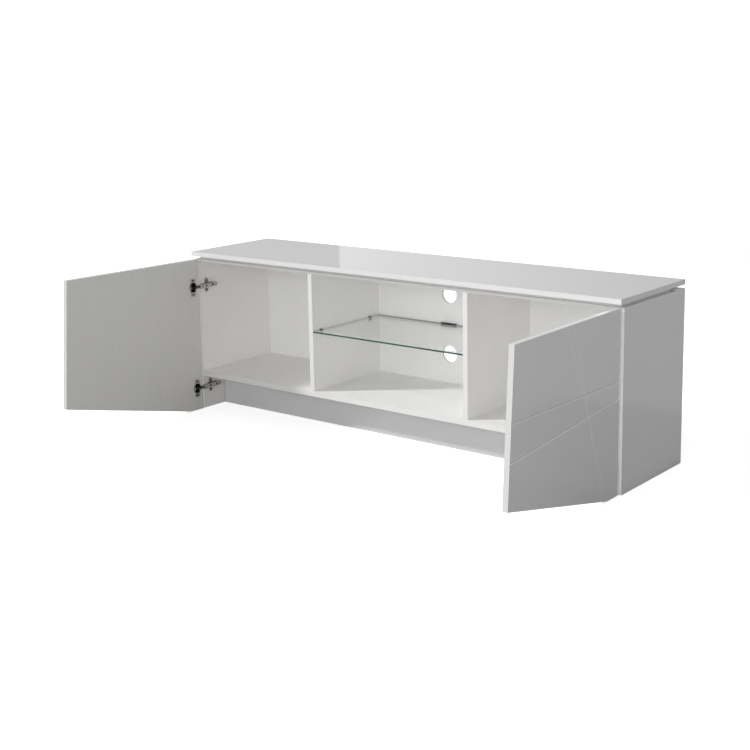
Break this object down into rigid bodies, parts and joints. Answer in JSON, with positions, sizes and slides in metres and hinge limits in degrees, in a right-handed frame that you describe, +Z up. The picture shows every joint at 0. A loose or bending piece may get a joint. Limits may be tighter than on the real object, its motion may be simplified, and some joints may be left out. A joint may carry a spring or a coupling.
{
  "type": "tv stand with doors",
  "caption": "Long low white gloss TV stand with hinged grooved doors, an open middle bay with a glass shelf, and a top that floats on a shadow gap.",
  "frame": {"origin": "on the floor, under the middle of the closed cabinet's footprint, on the underside of the plinth's centre rail", "axes": "+X along the front, to the right seen from the front; +Y from the front to the back; +Z up. The door fronts face -Y when closed."},
  "size_m": [1.6775, 0.9482, 0.555],
  "materials": {
    "white_gloss": "white high-gloss lacquer on board",
    "white_board": "white satin melamine on board",
    "back_board": "white matt hardboard",
    "bare_wood": "bare, sanded",
    "nickel": "nickel plated, satin",
    "shelf_glass": "clear, polished green edges",
    "dark_plastic": "dark grey, satin",
    "clear_plastic": "clear, soft",
    "circuit_board": "solder mask"
  },
  "bodies": {
    "carcass": {"top_panel": "white_gloss", "top_rail_front": "white_board", "top_rail_rear": "white_board", "left_top_rail": "white_board", "right_top_rail": "white_board", "carcass_top": "white_board", "left_side_panel": "white_gloss", "right_side_panel": "white_gloss", "bottom_panel": "white_board", "left_partition": "white_board", "right_partition": "white_board", "back_left": "back_board", "back_centre": "back_board", "back_right": "back_board", "plinth_front": "white_gloss", "plinth_rear": "back_board", "plinth_centre_rail": "back_board", "left_top_cleat": "bare_wood", "right_top_cleat": "bare_wood", "glass_shelf": "shelf_glass", "shelf_support_left_front": "nickel", "shelf_support_left_rear": "nickel", "shelf_support_right_front": "nickel", "shelf_support_right_rear": "nickel", "light_clip_body": "dark_plastic", "light_clip_board": "circuit_board", "light_clip_lens": "clear_plastic", "left_upper_plate": "nickel", "left_lower_plate": "nickel", "right_upper_plate": "nickel", "right_lower_plate": "nickel", "left_upper_arm": "nickel", "left_lower_arm": "nickel", "right_upper_arm": "nickel", "right_lower_arm": "nickel", "left_upper_pin": "nickel", "left_lower_pin": "nickel", "right_upper_pin": "nickel", "right_lower_pin": "nickel", "plate_screws": "nickel", "arm_screws": "nickel", "arm_clips": "dark_plastic", "top_screws": "nickel", "cleat_screws": "nickel", "dowels": "bare_wood", "cam_bolts": "nickel", "cam_discs": "nickel"},
    "left_leaf": {"left_door": "white_gloss", "left_upper_cup": "nickel", "left_lower_cup": "nickel", "left_cup_screws": "nickel"},
    "right_leaf": {"right_door": "white_gloss", "right_upper_cup": "nickel", "right_lower_cup": "nickel", "right_cup_screws": "nickel"},
    "left_hinge_links": {"left_upper_link": "nickel", "left_lower_link": "nickel"},
    "right_hinge_links": {"right_upper_link": "nickel", "right_lower_link": "nickel"}
  },
  "joints": [
    {"name": "left_door_swing", "type": "hinge", "parent": "carcass", "child": "left_leaf", "pos_m": [-0.817, -0.1905, 0.2565], "axis": [0, 0, 1], "range_deg": [-12, 93]},
    {"name": "right_door_swing", "type": "hinge", "parent": "carcass", "child": "right_leaf", "pos_m": [0.817, -0.1905, 0.2565], "axis": [0, 0, -1], "range_deg": [-14, 91]},
    {"name": "left_link_swing", "type": "hinge", "parent": "carcass", "child": "left_hinge_links", "pos_m": [-0.7998, -0.1831, 0.2565], "axis": [0, 0, 1], "range_deg": [-12.6, 97.65]},
    {"name": "right_link_swing", "type": "hinge", "parent": "carcass", "child": "right_hinge_links", "pos_m": [0.7998, -0.1831, 0.2565], "axis": [0, 0, -1], "range_deg": [-14.7, 95.55]}
  ],
  "couplings": [
    {"joint": "left_link_swing", "follows": "left_door_swing", "ratio": 1.05},
    {"joint": "right_link_swing", "follows": "right_door_swing", "ratio": 1.05}
  ]
}
